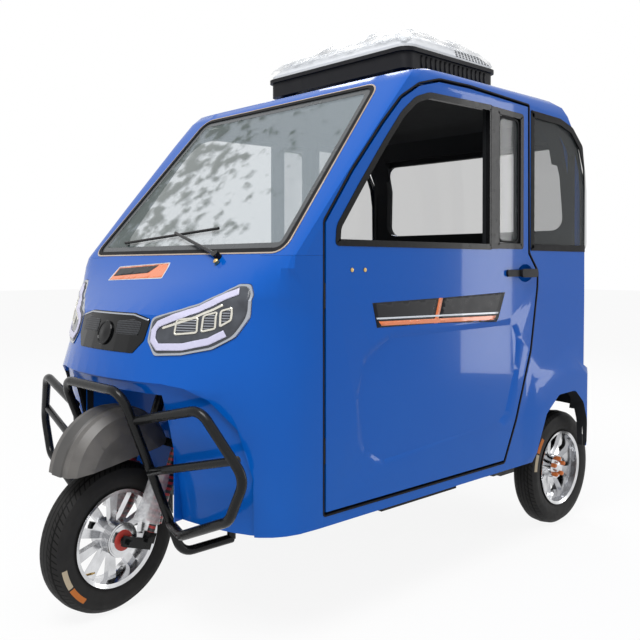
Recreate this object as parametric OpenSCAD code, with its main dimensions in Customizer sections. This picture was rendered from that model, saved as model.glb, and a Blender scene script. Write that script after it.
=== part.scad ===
// Enclosed electric tricycle: one steered front wheel, two doors, a bench
// behind the driver's seat and an air cooler on the roof.
// +X is the vehicle's left side, -Y is its nose, and the ground is z = 0.
// Y is counted from the front axle here, and placed() centres the whole.

/* [Body] */
// Half the width across the flat sides
body_half_w = 566; // [540:1:590]
// Rear face of the body, behind the front axle
body_rear_y = 1808; // [1790:1:1840]
// Height of the roof where its edge rounding ends
roof_edge_z = 1632; // [1600:1:1660]
// Radius of the rounding along the roof's sides
roof_round = 60; // [50:1:66]
// Lower edge of the body skirt
skirt_z = 300; // [290:1:320]
// Thickness of a whole wall, door or roof
wall = 34; // [30:1:38]
// Gap round each door
door_gap = 8; // [7:0.5:10]
// Front edge of each door, behind the front axle
door_front_y = 338; // [334:1:344]

/* [Windows] */
// Foot of the windscreen, behind the front axle
screen_foot_y = 222; // [215:1:230]
// Height of the foot of the windscreen
screen_foot_z = 1034; // [1028:1:1040]
// How far the windscreen leans back for each millimetre of height
screen_lean = 0.844; // [0.82:0.004:0.87]
// Thickness of a window pane
glass_t = 5; // [4:0.5:6]
// Height of the window sills
sill_z = 1066; // [1055:1:1075]

/* [Wheels] */
// Distance from the rear axle to the body's rear face
axle_inset = 134; // [120:1:150]
// Outer radius of each tyre
tyre_r = 218.5; // [214:0.5:222]
// Width of each tyre
tyre_w = 92; // [86:1:96]
// Radius of the rim's flange
rim_r = 143; // [138:1:146]
// Number of spokes in each rim
spoke_count = 10; // [6:1:12]
// How far the outer face of each rear tyre stands inside the body's side
tyre_inset = 53; // [45:1:60]

/* [Steering] */
// Rake of the steering axis
rake = 20; // [18:0.5:22]
// How far the front wheel is turned as it stands
steer_rest = 8; // [0:1:12]
// How far the steering axis runs behind the front wheel's middle
steer_offset = 35; // [30:1:45]
// Distance from the front wheel's middle plane to a shock absorber
shock_x = 84; // [80:1:90]
// How far the shock absorbers stand behind the steering axis
shock_back = 39; // [34:1:44]

/* [Crash bar] */
// Diameter of the crash bar's tube
bar_d = 27; // [22:1:30]
// Radius of the tube's bends
bar_bend = 55; // [45:1:60]
// Distance of the middle loop's legs from the middle of the vehicle
bar_x = 172; // [168:1:180]

/* [Roof cooler] */
// Width of the cooler's base
cooler_w = 740; // [700:5:760]
// Length of the cooler's base
cooler_l = 540; // [500:5:560]
// Height of the cooler above its feet
cooler_h = 150; // [130:1:170]

/* [Hidden] */

BLUE = [0.02, 0.27, 0.72];
BLACK = [0.06, 0.06, 0.07];
RUBBER = [0.10, 0.10, 0.11];
ALLOY = [0.75, 0.76, 0.78];
TINT = [0.25, 0.30, 0.33, 0.5];
CLEAR = [0.70, 0.80, 0.82, 0.35];

round_z = roof_edge_z - roof_round;
roof_l = body_rear_y - 262 - screen_y(round_z) - 200;
wheelbase = body_rear_y - axle_inset;
rear_wheel_x = body_half_w - tyre_inset - tyre_w / 2;
rest_front_y = -tyre_r * cos(steer_rest) - tyre_w / 2 * sin(steer_rest);
rest_rear_y = wheelbase + tyre_r;
mid_y = (rest_front_y + rest_rear_y) / 2;
door_rear_y = body_rear_y - 470;
corner_x = body_half_w - wall;
corner_y = body_rear_y - 73;
roof_half_w = body_half_w - 136;
grille_half_w = 190;
brow_step = 24;
flare_h = 12;
handle_z = 981;
well_y = 20;
well_r = 257;
well_top = 655;
rail_h = 50;
rail_x = 280;
rail_end_y = body_rear_y + 10;
rear_cross_y = wheelbase - 344;
post_x = 45;
post_y = 335;
bumper_w = 760;
bench_y = wheelbase - 324;
seat_y = door_front_y + 0.358 * (bench_y - door_front_y);
seat_l = 0.415 * (bench_y - door_front_y);
hinge_x = body_half_w - 4;
hinge_y = door_front_y - door_gap / 2;
hinge_r = door_gap / 2 - 0.3;
head_low = 470;
head_h = 150;
crown_z = 285;
bar_clamp_z = 812;
axle_r = 7.5;
stub_r = 11;
guard_r = 186;
guard_half_w = 78;
guard_up = 198;
stay_r = 6;
pane_play = 0.3;
press_depth = 7;
cooler_y = roof_y(0.45);
cooler_z = roof_edge_z + 50;
cooler_base_h = 70;
foot_x = cooler_w / 2 - 70;
foot_y = cooler_l / 2 - 70;

function screen_y(z) = screen_foot_y + (z - screen_foot_z) * screen_lean;
// A point on the roof's flat top, a share of its length from its front
function roof_y(share) = screen_y(round_z) + 200 + share * roof_l;

// One row for each level of the skin: height, nose at the middle, depth of the
// round nose, squareness of its corners, half width, tail, depth of the tail.
function skin_rows() = [
    [skirt_z, 60, 250, 3.0, body_half_w, body_rear_y - 10, 60],
    [430, 40, 275, 2.8, body_half_w, body_rear_y - 8, 60],
    [560, 0, 318, 2.4, body_half_w, body_rear_y - 5, 60],
    [680, -46, 370, 2.1, body_half_w, body_rear_y - 3, 60],
    [760, -24, 350, 2.0, body_half_w, body_rear_y - 2, 60],
    [870, 10, 320, 2.0, body_half_w, body_rear_y, 60],
    [915, 80, 252, 2.8, body_half_w, body_rear_y, 60],
    [960, 142, 178, 4.0, body_half_w, body_rear_y, 60],
    [1000, 190, 100, 7.0, body_half_w, body_rear_y, 60],
    [screen_foot_z, screen_foot_y, 40, 12, body_half_w, body_rear_y, 60],
    [1210, screen_y(1210), 28, 14, body_half_w, body_rear_y, 60],
    [1366, screen_y(1366), 28, 14, body_half_w, body_rear_y - 8, 60],
    [1480, screen_y(1480), 28, 14, body_half_w, body_rear_y - 44, 70],
    [round_z, screen_y(round_z), 40, 12, body_half_w, body_rear_y - 112, 80],
    for (a = [30, 55, 75, 90])
        [round_z + roof_round * sin(a), screen_y(round_z) + 200 * (1 - cos(a)),
            40 + 100 * (1 - cos(a)), 12 - 8 * sin(a), body_half_w - roof_round * (1 - cos(a)),
            body_rear_y - 112 - 150 * (1 - cos(a)), 80 + 60 * (1 - cos(a))],
    [roof_edge_z + 7, roof_y(0.14), 0.3 * roof_l, 2.5, body_half_w - 166, roof_y(0.84),
        0.24 * roof_l],
    [roof_edge_z + 12, roof_y(0.29), 0.15 * roof_l, 2.2, body_half_w - 326, roof_y(0.72),
        0.135 * roof_l]
];

// Points round one level, inset by a wall thickness: the nose from right to
// left, then the tail from left to right.
NOSE_STEPS = 28;
TAIL_STEPS = 12;
function bulge(u, p) = 1 - pow(max(0, 1 - pow(abs(u), p)), 1 / p);
function ease(i, n) = sin(-90 + 180 * i / n);
function skin_ring(row, inset) = [
    for (i = [0 : NOSE_STEPS])
        let (u = ease(i, NOSE_STEPS))
        [(row[4] - inset) * u, row[1] + inset + row[2] * bulge(u, row[3]), row[0]],
    for (i = [0 : TAIL_STEPS])
        let (u = -ease(i, TAIL_STEPS))
        [(row[4] - inset) * u, row[5] - inset - row[6] * bulge(u, 3), row[0]]
];

// A closed solid through a stack of rings that all have the same point count.
module loft(rings) {
    count = len(rings[0]);
    last = len(rings) - 1;
    polyhedron(
        points = [for (ring = rings) for (point = ring) point],
        faces = [
            [for (i = [0 : count - 1]) i],
            [for (i = [0 : count - 1]) last * count + count - 1 - i],
            for (k = [0 : last - 1])
                for (i = [0 : count - 1])
                    let (a = k * count + i, b = k * count + (i + 1) % count)
                    each [[a, a + count, b], [b, a + count, b + count]]
        ],
        convexity = 8);
}

// The whole body as one block, grown by proud.
module skin_block(proud = 0) {
    loft([for (row = skin_rows()) skin_ring(row, -proud)]);
}

// The hollow inside it, open at the bottom.
module skin_hollow(inset = wall) {
    rows = skin_rows();
    loft([
        [for (point = skin_ring(rows[0], inset)) [point[0], point[1], 200]],
        for (row = rows)
            [for (point = skin_ring(row, inset)) point - [0, 0, row[0] > round_z ? inset : 0]]
    ]);
}

// OpenSCAD works the panels out as one mesh, because they are all lofts.
module meshed() {
    resize([0, 0, 0]) children();
}

module placed() {
    translate([0, -mid_y, 0]) children();
}

// A flat shape of [y, z] points, thick along X from x0 to x1.
module side_prism(x0, x1) {
    translate([x0, 0, 0]) rotate([90, 0, 90]) linear_extrude(x1 - x0) children();
}

// A flat shape of [x, z] points, thick along Y from y0 to y1.
module front_prism(y0, y1) {
    translate([0, y1, 0]) rotate([90, 0, 0]) linear_extrude(y1 - y0) children();
}

module rounded(r) {
    offset(r = r, $fn = 20) offset(delta = -r) children();
}

module mirrored(side) {
    if (side > 0) children();
    else mirror([1, 0, 0]) children();
}

module both_sides() {
    children();
    mirror([1, 0, 0]) children();
}

// A straight round bar between two points.
module rod(a, b, r, sides = 32) {
    v = b - a;
    translate(a) rotate([0, acos(v[2] / norm(v)), atan2(v[1], v[0])])
        cylinder(h = norm(v), r = r, $fn = sides);
}

// A bent tube through points, with the same bend radius at each corner.
function unit(v) = v / norm(v);
function turn(p, i) = acos(unit(p[i] - p[i - 1]) * unit(p[i + 1] - p[i]));
function setback(p, i, bend) =
    i == 0 || i == len(p) - 1 ? 0 : bend * tan(turn(p, i) / 2);
module bent_tube(p, r, bend) {
    for (i = [0 : len(p) - 2]) {
        d = unit(p[i + 1] - p[i]);
        rod(p[i] + d * setback(p, i, bend), p[i + 1] - d * setback(p, i + 1, bend), r, 16);
    }
    for (i = [1 : len(p) - 2]) {
        d1 = unit(p[i] - p[i - 1]);
        d2 = unit(p[i + 1] - p[i]);
        n = unit(d2 - d1 * (d1 * d2));
        c = p[i] - d1 * setback(p, i, bend) + n * bend;
        z = cross(-n, d1);
        multmatrix([
            [-n[0], d1[0], z[0], c[0]],
            [-n[1], d1[1], z[1], c[1]],
            [-n[2], d1[2], z[2], c[2]],
            [0, 0, 0, 1]])
            rotate_extrude(angle = turn(p, i), $fn = 32)
                translate([bend, 0]) circle(r, $fn = 16);
    }
}

// Z runs up the steering axis from beside the front wheel's middle.
module on_steering() {
    translate([0, 0, tyre_r]) rotate([-rake, 0, 0]) translate([0, steer_offset, 0]) children();
}
// The same place, turned with the wheel as it stands.
module along_fork() {
    on_steering() rotate([0, 0, steer_rest]) children();
}
// The front wheel's middle, with Z square to the ground but for its lean.
module at_front_wheel() {
    along_fork() translate([0, -steer_offset, 0]) rotate([rake, 0, 0]) children();
}

// Door and window outlines, seen from the side as [y, z]
function door_points() = [
    [door_front_y, 339], [door_front_y, 1124], [447, 1272], [572, 1418], [652, 1502],
    [735, 1553], [833, 1580], [990, 1584], [door_rear_y, 1571], [door_rear_y + 4, 1050],
    [door_rear_y + 62, 985], [door_rear_y + 60, 930], [door_rear_y + 17, 705],
    [door_rear_y - 78, 467], [door_rear_y - 148, 337]];
module door_shape(grow = 0) {
    offset(delta = grow) polygon(door_points());
}
module door_window_shape() {
    rounded(12) polygon([[378, sill_z], [382, 1116], [474, 1240], [584, 1380], [655, 1464],
        [718, 1514], [783, 1536], [door_rear_y - 221, 1542], [door_rear_y - 221, sill_z]]);
}
module vent_shape() {
    rounded(8) translate([door_rear_y - 192, sill_z + 4]) square([160, 1539 - sill_z - 4]);
}
module quarter_shape() {
    front_y = door_rear_y + 24;
    l = body_rear_y - 34 - front_y;
    rounded(30) translate([front_y, 0]) polygon([[0, sill_z], [0, 1558], [0.48 * l, 1553],
        [0.7 * l, 1530], [0.875 * l, 1470], [0.97 * l, 1385], [0.995 * l, 1300], [l, 1080],
        [0.985 * l, sill_z]]);
}
module arch_shape() {
    rounded(30) polygon([[wheelbase - 324, skirt_z - 60], [wheelbase - 282, 350],
        [wheelbase - 222, 466], [wheelbase - 134, 526], [wheelbase - 14, 530],
        [corner_y - 13, 478], [corner_y + 17, 400], [corner_y + 29, skirt_z - 60]]);
}

// Body panels
cowl_rear_y = door_front_y - door_gap;
module front_zone() {
    difference() {
        union() {
            translate([-900, -200, 200]) cube([1800, 200 + cowl_rear_y, screen_foot_z - 200]);
            translate([-roof_half_w, 0, screen_foot_z - 1]) cube([2 * roof_half_w, cowl_rear_y, 30]);
        }
        wheel_room(0.5);
    }
}
// The room that the front wheel needs as it steers.
module wheel_room(play) {
    translate([0, well_y, 100]) cylinder(h = well_top - 100 + play, r = well_r + play, $fn = 64);
}
function lamp_x(t) = grille_half_w + 6 + t * (body_half_w - 88 - grille_half_w - 6);
module lamp_shape() {
    rounded(16) polygon([[lamp_x(0), 862], [lamp_x(0.475), 906], [lamp_x(0.81), 958],
        [lamp_x(0.94), 958], [lamp_x(1), 930], [lamp_x(0.97), 866], [lamp_x(0.89), 818],
        [lamp_x(0.72), 786], [lamp_x(0.44), 768], [lamp_x(0.14), 762], [lamp_x(0.014), 800]]);
}
module grille_shape() {
    w = grille_half_w;
    rounded(8) polygon([[-w, 858], [-w + 70, 872], [w - 70, 872], [w, 858], [w - 6, 800],
        [w - 40, 764], [-w + 40, 764], [-w + 6, 800]]);
}
// The nose below its brow lies a step further back.
module brow_shape() {
    polygon([[-body_half_w + 66, 250], [-body_half_w + 66, 450], [-body_half_w + 96, 580],
        [-body_half_w + 156, 653], [-body_half_w + 216, 682], [-280, 690], [280, 690],
        [body_half_w - 216, 682], [body_half_w - 156, 653], [body_half_w - 96, 580],
        [body_half_w - 66, 450], [body_half_w - 66, 250]]);
}
module brow_cut() {
    difference() {
        front_prism(-200, 250) brow_shape();
        loft([for (row = skin_rows())
            skin_ring([row[0], row[1] + brow_step, row[2] - brow_step, row[3], row[4], row[5],
                row[6]], 0)]);
    }
}

module front_cowl() {
    color(BLUE) placed() meshed() difference() {
        intersection() {
            skin_block();
            front_zone();
        }
        skin_hollow(wall - 6);
        brow_cut();
        front_prism(-200, 300) both_sides() offset(delta = 1) lamp_shape();
        front_prism(-200, 150) offset(delta = 1) grille_shape();
        screen_cut();
        stem_hole();
        screen_plane() wiper_boss(11 + pane_play, 80);
    }
}
// The way through the well's roof for the steering stem.
module stem_hole() {
    on_steering() cylinder(h = 700, r = 45, $fn = 48);
}

module wheel_well() {
    color(BLUE) placed() difference() {
        translate([0, well_y, skirt_z]) cylinder(h = well_top - skirt_z, r = well_r, $fn = 64);
        translate([0, well_y, skirt_z - 1])
            cylinder(h = well_top - 4 - skirt_z + 1, r = well_r - 5, $fn = 64);
        translate([-300, well_y - 300, skirt_z - 2]) cube([600, 300 + 40, 400]);
        stem_hole();
    }
}

// The windscreen's opening, square to the glass, grown by edge.
module screen_plane() {
    translate([0, screen_foot_y, screen_foot_z]) rotate([-atan(screen_lean), 0, 0]) children();
}
screen_len = (roof_edge_z - 64 - screen_foot_z) / cos(atan(screen_lean));
module screen_shape(edge) {
    low = body_half_w - 54;
    high = body_half_w - 114;
    offset(delta = edge) rounded(45)
        polygon([[-low, 14], [low, 14], [high, screen_len], [-high, screen_len]]);
}
// A flat shape on the windscreen's plane, from depth y0 to y1 below it.
module screen_slab(y0, y1) {
    screen_plane() translate([0, y1, 0]) rotate([90, 0, 0]) linear_extrude(y1 - y0) children();
}
// The opening, with a rebate that the pane lies in.
module screen_cut() {
    screen_slab(-60, 120) screen_shape(-10);
    screen_slab(-60, 2 + glass_t) screen_shape(pane_play);
}
module windscreen() {
    color(CLEAR) placed() screen_slab(2, 2 + glass_t) screen_shape(0);
}

module side_zone(side) {
    mirrored(side) difference() {
        union() {
            translate([roof_half_w, 215, screen_foot_z + 0.5]) cube([300, body_rear_y, 900]);
            translate([roof_half_w, door_front_y - door_gap + 0.5, 200])
                cube([300, body_rear_y, 900]);
        }
        translate([roof_half_w - 50, corner_y, 200]) cube([corner_x - roof_half_w + 50, 400, 1600]);
    }
}
module side_frame(side) {
    color(BLUE) placed() meshed() difference() {
        union() {
            intersection() {
                skin_block();
                side_zone(side);
            }
            mirrored(side) intersection() {
                skin_block(flare_h);
                flare();
            }
        }
        skin_hollow();
        screen_cut();
        mirrored(side) {
            side_prism(body_half_w - 39, 900) door_shape(door_gap);
            side_prism(body_half_w - 66, 900) quarter_shape();
            side_prism(roof_half_w, 900) arch_shape();
        }
    }
}
// The raised field over a rear wheel's arch, with sloped edges.
module flare() {
    hull() {
        side_prism(body_half_w - 10, body_half_w) flare_shape();
        side_prism(body_half_w, body_half_w + flare_h) offset(delta = -3 * flare_h) flare_shape();
    }
}
module flare_shape() {
    polygon([[wheelbase - 368, skirt_z], [wheelbase - 344, 480], [wheelbase - 300, 590],
        [wheelbase - 224, 648], [wheelbase - 114, 668], [wheelbase, 655],
        [corner_y + 50, 600], [corner_y + 50, skirt_z]]);
}
module roof_panel() {
    color(BLUE) placed() meshed() difference() {
        intersection() {
            skin_block();
            translate([-roof_half_w + 0.5, 215, 1500])
                cube([2 * roof_half_w - 1, corner_y - 0.5 - 215, 300]);
        }
        skin_hollow();
        screen_cut();
    }
}
module rear_panel() {
    color(BLUE) placed() meshed() difference() {
        intersection() {
            skin_block();
            translate([-corner_x + 0.5, corner_y, 462]) cube([2 * corner_x - 1, 300, 1200]);
        }
        skin_hollow();
        front_prism(body_rear_y - 250, body_rear_y + 100) rear_window_shape(0);
        front_prism(body_rear_y - 31, body_rear_y + 100)
            both_sides() offset(delta = pane_play) tail_lamp_shape();
    }
}
module rear_window_shape(edge) {
    low = body_half_w - 96;
    high = body_half_w - 116;
    offset(delta = edge) rounded(50) polygon([[-low, 1150], [low, 1150], [high, 1478], [-high, 1478]]);
}
module tail_lamp_shape() {
    translate([body_half_w - 113.5, 930]) rounded(12) square([95, 220], center = true);
}
module rear_glass() {
    color(TINT) placed() meshed() intersection() {
        difference() {
            skin_block(-8);
            skin_hollow(8 + glass_t);
        }
        front_prism(body_rear_y - 250, body_rear_y + 100) rear_window_shape(-pane_play);
    }
}
module tail_lamps() {
    color([0.6, 0.03, 0.03]) placed() both_sides()
        front_prism(body_rear_y - 30, body_rear_y + 4) tail_lamp_shape();
}
module quarter_glass(side) {
    color(TINT) placed() mirrored(side)
        side_prism(body_half_w - 10, body_half_w - 10 + glass_t)
            offset(delta = -pane_play) quarter_shape();
}
// A flat floor with a box over each rear wheel.
module floor_pan() {
    cabin_half_w = body_half_w - wall;
    box_x = rear_wheel_x - tyre_w / 2 - 26;
    box_y = wheelbase - 333;
    box_rear_y = corner_y - 30;
    color(BLACK) placed() {
        difference() {
            union() {
                translate([-cabin_half_w + 2, 272, skirt_z])
                    cube([2 * cabin_half_w - 4, 90, 10]);
                translate([-cabin_half_w, 350, skirt_z])
                    cube([2 * cabin_half_w, box_rear_y - 350, 10]);
                translate([-box_x, 272, skirt_z]) cube([2 * box_x, corner_y + 10 - 272, 10]);
            }
            translate([0, well_y, 0]) cylinder(h = 500, r = well_r + pane_play, $fn = 64);
            both_sides() {
                translate([box_x + 5, box_y + 5, 200]) cube([200, 600, 300]);
                translate([post_x, post_y, 200]) cylinder(h = 200, r = 14 + pane_play, $fn = 32);
            }
        }
        both_sides() difference() {
            translate([box_x, box_y, skirt_z])
                cube([cabin_half_w - box_x, box_rear_y - box_y, 255]);
            translate([box_x + 5, box_y + 5, skirt_z - 1]) cube([200, 600, 251]);
        }
    }
}

// Doors
module door(side) {
    color(BLUE) placed() meshed() mirrored(side) difference() {
        intersection() {
            skin_block();
            side_prism(body_half_w - 38, body_half_w + 20) door_shape();
        }
        side_prism(400, 700) door_window_shape();
        side_prism(400, 700) vent_shape();
        hull() {
            side_prism(body_half_w - press_depth, body_half_w) panel_shape();
            side_prism(body_half_w, body_half_w + 1) offset(r = 3 * press_depth, $fn = 20)
                panel_shape();
        }
        translate([body_half_w + 12, door_rear_y - 14, handle_z])
            scale([1, 1.9, 1.25]) sphere(r = 28, $fn = 32);
    }
}
// The large pressed field in the door's skin.
module panel_shape() {
    rounded(60) polygon([[door_front_y + 132, 640], [door_front_y + 162, 745],
        [door_front_y + 272, 795], [door_rear_y - 48, 808], [door_rear_y - 76, 640],
        [door_rear_y - 138, 474], [door_front_y + 222, 440], [door_front_y + 140, 500]]);
}
// Pins in the gap in front of each door, which it turns about.
module door_hinges() {
    color(BLACK) placed() both_sides() for (z = [470, 890])
        translate([hinge_x, hinge_y, z]) cylinder(h = 70, r = hinge_r, $fn = 32);
}
module door_glass(side) {
    color(TINT) placed() mirrored(side)
        side_prism(body_half_w - 12, body_half_w - 12 + glass_t)
            offset(delta = -pane_play) vent_shape();
}
module door_handle(side) {
    color(BLACK) placed() mirrored(side) {
        translate([body_half_w, door_rear_y - 44, handle_z]) rotate([90, 0, 90])
            linear_extrude(9) rounded(11) square([184, 24], center = true);
        translate([body_half_w + 9, door_rear_y - 8, handle_z]) rotate([90, 0, 90])
            linear_extrude(9) rounded(10) square([100, 30], center = true);
    }
}

// Nose
module headlamp(side) {
    color(ALLOY) placed() meshed() mirrored(side) intersection() {
        difference() {
            skin_block(3);
            skin_hollow(45);
        }
        front_prism(-200, 300) lamp_shape();
    }
}
module grille() {
    color(BLACK) placed() meshed() intersection() {
        difference() {
            skin_block(2);
            skin_hollow(30);
        }
        front_prism(-200, 150) grille_shape();
    }
}
// Seen square to the glass: x across, y above it, z up it.
module wiper() {
    color(BLACK) placed() screen_plane() {
        wiper_boss(11, 30);
        rod([245, -17, -6], [-60, -12, 92], 5);
        rod([-350, -6, 62], [150, -6, 108], 4.5);
        rod([-60, -12, 92], [-60, -6, 88.7], 4);
    }
}
module wiper_boss(r, h) {
    translate([245, 8, -6]) rotate([90, 0, 0]) cylinder(h = h, r = r, $fn = 32);
}
// A loop round the wheel, with a side loop and a rung each side.
module crash_bar() {
    color(BLACK) placed() meshed() {
        bent_tube([[-bar_x, 320, 175], [-bar_x, 138, 175], [-bar_x, -58, 662],
            [bar_x, -58, 662], [bar_x, 138, 175], [bar_x, 320, 175]], bar_d / 2, bar_bend);
        both_sides() {
            bent_tube([[bar_x, -18, 579], [body_half_w - 126, 14, 640], [body_half_w - 4, 62, 478],
                [body_half_w - 61, 56, 362], [300, 50, 276], [bar_x, 100, 268]],
                bar_d / 2, bar_bend);
            rod([bar_x, 32, 428], [270, 18, 455], bar_d / 2 - 2, 16);
            rod([268, 18, 454.5], [body_half_w - 26, 56, 522], bar_d / 2 - 2, 16);
            rod([bar_x, 318, 175], [bar_x, 318, skirt_z - rail_h], bar_d / 2, 16);
        }
    }
}

// Running gear
module chassis_frame() {
    low = skirt_z - rail_h;
    color(BLACK) placed() {
        both_sides() {
            translate([rail_x, 300, low]) cube([40, rail_end_y - 300, rail_h]);
            translate([120, 300, low]) cube([30, 460, rail_h]);
        }
        for (y = [300, 760, rear_cross_y, rail_end_y - 40])
            translate([-rail_x - 40, y, low]) cube([2 * rail_x + 80, 40, rail_h]);
        difference() {
            on_steering() translate([0, 0, head_low]) cylinder(h = head_h, r = 30, $fn = 48);
            on_steering() translate([0, 0, head_low - 1]) cylinder(h = head_h + 2, r = 22, $fn = 48);
        }
        both_sides() {
            rod([post_x, post_y, 572], [post_x, post_y, low + 10], 14);
            rod([20, 262, 735], [47, 341, 548], 13);
        }
    }
}
// Two legs with a clamp, a stem, and a lug behind the axle for each spring leg.
module front_fork() {
    color(BLACK) placed() along_fork() {
        translate([0, 0, crown_z]) cylinder(h = bar_clamp_z - crown_z, r = 17, $fn = 48);
        translate([-shock_x - 24, shock_back - 26, crown_z]) cube([2 * shock_x + 48, 52, 24]);
        translate([-30, -30, crown_z]) cube([60, shock_back + 30, 24]);
        both_sides() {
            translate([shock_x - 8, -steer_offset - 16, -14])
                cube([12, steer_offset + shock_back + 30, 30]);
            translate([shock_x - 13, shock_back - 13, 6]) cube([26, 26, 30]);
            guard_stay(stay_r);
        }
        translate([0, -steer_offset, 0]) rotate([0, 90, 0]) translate([0, 0, -shock_x - 16])
            cylinder(h = 2 * shock_x + 32, r = axle_r, $fn = 32);
    }
}
module front_shocks() {
    color(RUBBER) placed() along_fork() both_sides() translate([shock_x, shock_back, 0]) {
        translate([0, 0, 36]) cylinder(h = crown_z - 36, r = 11, $fn = 32);
        translate([0, 0, 66]) cylinder(h = 150, r = 24, $fn = 32);
    }
}
module handlebar() {
    color(BLACK) placed() along_fork() translate([0, 0, bar_clamp_z]) meshed() {
        translate([-30, -25, 0]) cube([60, 50, 30]);
        both_sides() bent_tube([[0, 0, 15], [105, 5, 25], [185, 75, 50], [275, 190, 58]], 11, 40);
    }
}
// A dome over the wheel with skirts and a raised rib, cut off in front of the spring legs.
module mudguard() {
    color([0.35, 0.35, 0.36]) placed() difference() {
        at_front_wheel() translate([0, 0, guard_up]) difference() {
            rotate([0, 90, 0]) rotate_extrude($fn = 72) difference() {
                mudguard_section(0);
                mudguard_section(4);
            }
            rotate([8, 0, 0]) translate([-200, -400, -400]) cube([400, 800, 400 + 40]);
        }
        along_fork() {
            translate([-200, shock_back - 28, 0]) cube([400, 400, 800]);
            translate([0, 0, crown_z]) cylinder(h = 300, r = 19, $fn = 48);
            both_sides() guard_stay(stay_r + pane_play);
        }
    }
}
module mudguard_section(inset) {
    r = guard_r - inset;
    w = guard_half_w - inset;
    low = inset > 0 ? 0 : 1;
    polygon([[low, -w], [118, -w], [r - 22, -w + 12], [r - 6, -w + 34],
        [r - 5, -26], [r, -20], [r, 20], [r - 5, 26],
        [r - 6, w - 34], [r - 22, w - 12], [118, w], [low, w]]);
}
// The rods that carry the mudguard in front of the fork's crown.
module guard_stay(r) {
    rod([28, -20, crown_z + 20], [28, -60, 352], r);
}

module axle_along_x(x0, x1, r) {
    translate([x0, 0, 0]) rotate([0, 90, 0]) cylinder(h = x1 - x0, r = r, $fn = 48);
}
// A tyre round the X axis: its section, from the bead round the tread.
module tyre() {
    h = tyre_w / 2;
    rotate([0, 90, 0]) rotate_extrude($fn = 96) polygon([
        [rim_r - 6, -h + 14], [rim_r + 12, -h + 4], [rim_r + 40, -h], [tyre_r - 16, -h + 6],
        [tyre_r - 3, -h + 22], [tyre_r, 0], [tyre_r - 3, h - 22], [tyre_r - 16, h - 6],
        [rim_r + 40, h], [rim_r + 12, h - 4], [rim_r - 6, h - 14]]);
}
// A cast rim round the X axis, its open face towards +X: the spokes' back face
// lies at spoke_x and the hub ends at hub_x.
module rim(bore_r, spoke_x, hub_x) {
    h = tyre_w / 2;
    difference() {
        union() {
            rotate([0, 90, 0]) rotate_extrude($fn = 96) polygon([
                [rim_r - 12, -h + 8], [rim_r - 1, -h + 4], [rim_r - 6, -h + 12],
                [rim_r - 7, h - 12], [rim_r - 1, h - 4], [rim_r - 12, h - 8],
                [rim_r - 16, 10], [rim_r - 16, -10]]);
            axle_along_x(-30, hub_x, 45);
            for (i = [0 : spoke_count - 1])
                rotate([i * 360 / spoke_count, 0, 0]) side_prism(spoke_x, spoke_x + 20)
                    polygon([[-9, 40], [9, 40], [15, rim_r - 10], [-15, rim_r - 10]]);
        }
        axle_along_x(-60, hub_x + 1, bore_r);
    }
}
module at_rear_wheel(side) {
    translate([side * rear_wheel_x, wheelbase, tyre_r]) mirrored(side) children();
}
module rear_axle() {
    color(BLACK) placed() translate([0, wheelbase, tyre_r]) {
        axle_along_x(-rear_wheel_x + tyre_w / 2, rear_wheel_x - tyre_w / 2, 24);
        axle_along_x(-rear_wheel_x - 24, rear_wheel_x + 24, stub_r);
        axle_along_x(-48, 52, 70);
        translate([-10, -180, -10]) rotate([0, 90, 0]) cylinder(h = 170, r = 72, $fn = 48);
        translate([0, -130, -40]) cube([70, 100, 75]);
    }
}
// Three leaves each side, clamped on the axle tube and shackled to the rails.
module leaf_springs() {
    top_z = tyre_r - 24;
    color(RUBBER) placed() both_sides() translate([rail_x, wheelbase, 0]) {
        for (i = [0 : 2])
            translate([0, -230 + 50 * i, top_z - 8 * (i + 1)]) cube([40, 375 - 80 * i, 8]);
        for (y = [-228, 122])
            translate([5, y, top_z - 1]) cube([30, 20, skirt_z - rail_h - top_z + 1]);
    }
}
module battery_box() {
    color(BLACK) placed()
        translate([-300, rear_cross_y - 470, skirt_z - rail_h - 80]) cube([600, 420, 80]);
}

// Inside
module driver_seat() {
    color(RUBBER) placed() {
        translate([-230, seat_y, skirt_z + 10]) cube([460, seat_l, 252]);
        translate([-220, seat_y - 10, 560]) cube([440, seat_l + 10, 90]);
        translate([-215, seat_y + seat_l - 35, 640]) rotate([-8, 0, 0]) cube([430, 70, 440]);
    }
}
module rear_bench() {
    half_w = body_half_w - 176;
    color(RUBBER) placed() {
        translate([-half_w + 10, bench_y + 30, skirt_z + 10]) cube([2 * half_w - 20, 330, 142]);
        translate([-half_w, bench_y, 450]) cube([2 * half_w, 370, 130]);
        translate([-half_w + 5, bench_y + 305, 570]) rotate([-6, 0, 0])
            cube([2 * half_w - 10, 60, 400]);
    }
}
module dashboard() {
    half_w = body_half_w - 46;
    color(RUBBER) placed() difference() {
        translate([-half_w, screen_foot_y + 63, screen_foot_z - 174]) cube([2 * half_w, 45, 100]);
        on_steering() translate([0, 0, 600]) cylinder(h = 300, r = 60, $fn = 48);
    }
}

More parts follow.
